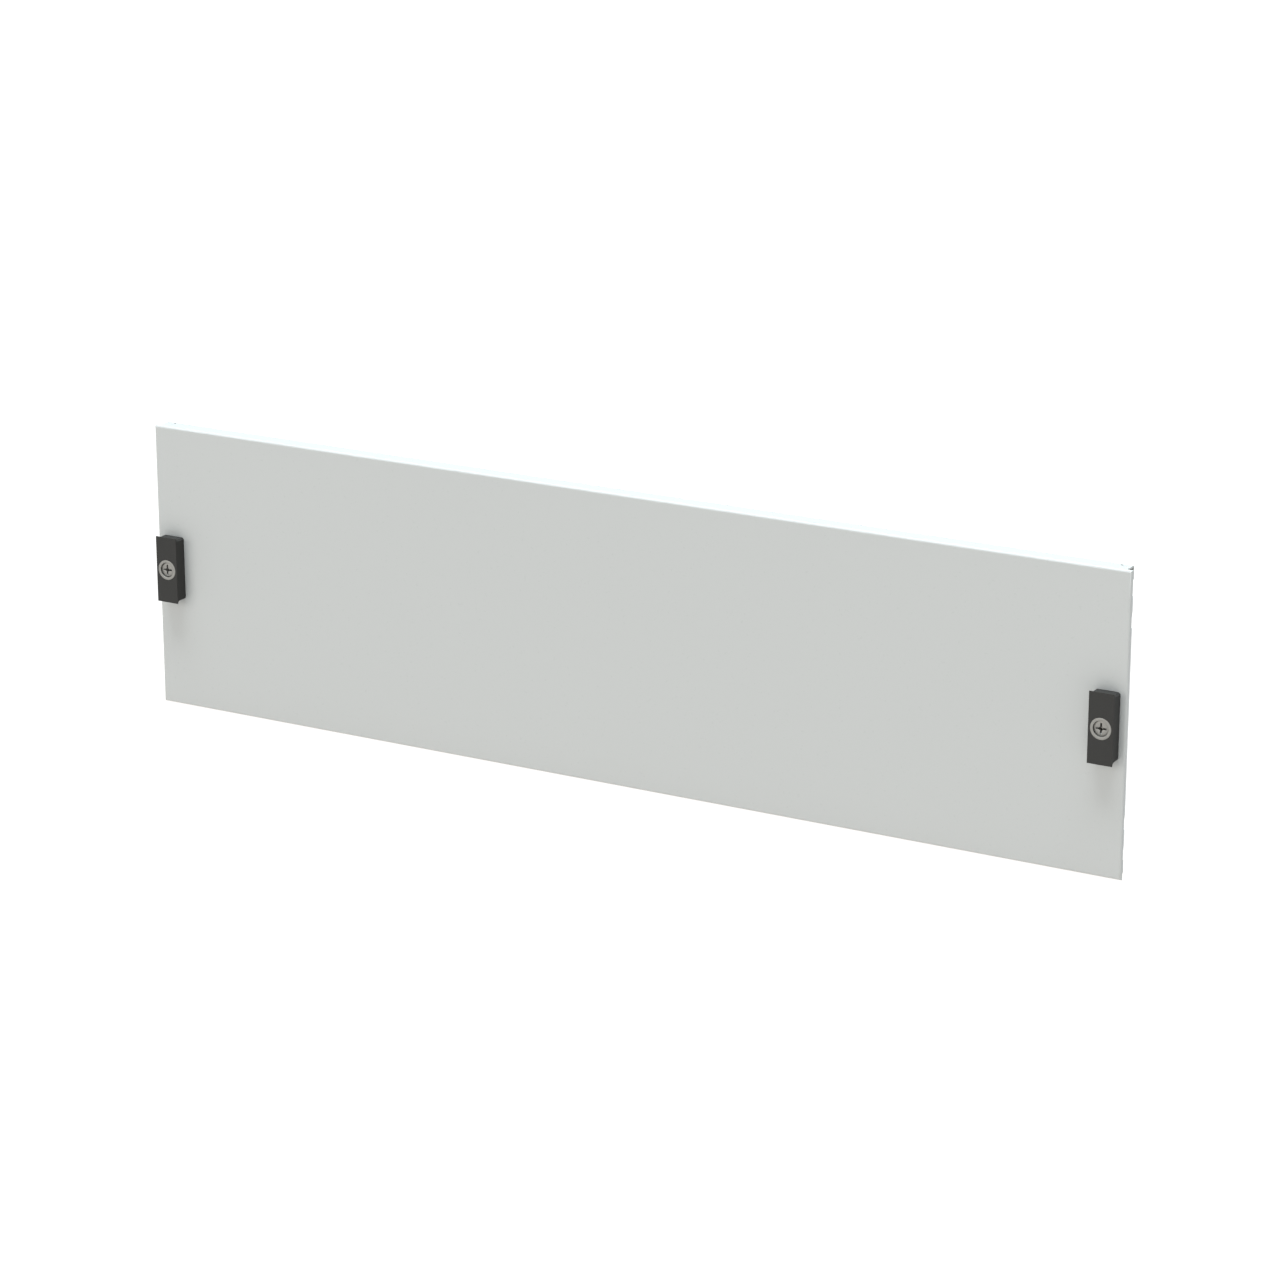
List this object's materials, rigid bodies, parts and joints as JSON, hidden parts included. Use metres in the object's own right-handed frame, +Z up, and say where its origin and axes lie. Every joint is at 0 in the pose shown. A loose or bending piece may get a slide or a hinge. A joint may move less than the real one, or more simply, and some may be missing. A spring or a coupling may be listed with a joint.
{
  "type": "enclosure cover panel",
  "caption": "Blank cover panel of folded sheet steel for a 19 inch rack, 3 units high, with return lips and notched side flanges, held by a turn lock in a black block at each side.",
  "frame": {"origin": "midway between the axes of the two locks, in the plane where the return lips meet the rack's rails", "axes": "+X to the right seen from the front, +Z up, +Y back into the rack along the locks' axes"},
  "size_m": [0.4826, 0.0211, 0.133],
  "materials": {
    "powder_coat": "fine satin powder coat, light grey",
    "black_plastic": "moulded, satin",
    "plated_metal": "nickel plated, satin",
    "zinc_steel": "zinc plated",
    "spring_steel": "plain",
    "rubber": "matt"
  },
  "bodies": {
    "panel": {"cover_sheet": "powder_coat", "latch_housing_left": "black_plastic", "guide_bush_left": "plated_metal", "tooth_washer_left": "zinc_steel", "bush_nut_left": "zinc_steel", "latch_housing_right": "black_plastic", "guide_bush_right": "plated_metal", "tooth_washer_right": "zinc_steel", "bush_nut_right": "zinc_steel"},
    "left_lock": {"turn_screw_left": "plated_metal", "disc_spring_left": "spring_steel", "friction_ring_left": "rubber", "lock_cam_left": "zinc_steel", "cam_washer_left": "zinc_steel", "cam_screw_left": "zinc_steel"},
    "right_lock": {"turn_screw_right": "plated_metal", "disc_spring_right": "spring_steel", "friction_ring_right": "rubber", "lock_cam_right": "zinc_steel", "cam_washer_right": "zinc_steel", "cam_screw_right": "zinc_steel"}
  },
  "joints": [
    {"name": "left_lock_turn", "type": "hinge", "parent": "panel", "child": "left_lock", "pos_m": [-0.23255, 0, 0], "axis": [0, -1, 0], "range_deg": [0, 45]},
    {"name": "right_lock_turn", "type": "hinge", "parent": "panel", "child": "right_lock", "pos_m": [0.23255, 0, 0], "axis": [0, -1, 0], "range_deg": [0, 45]}
  ]
}
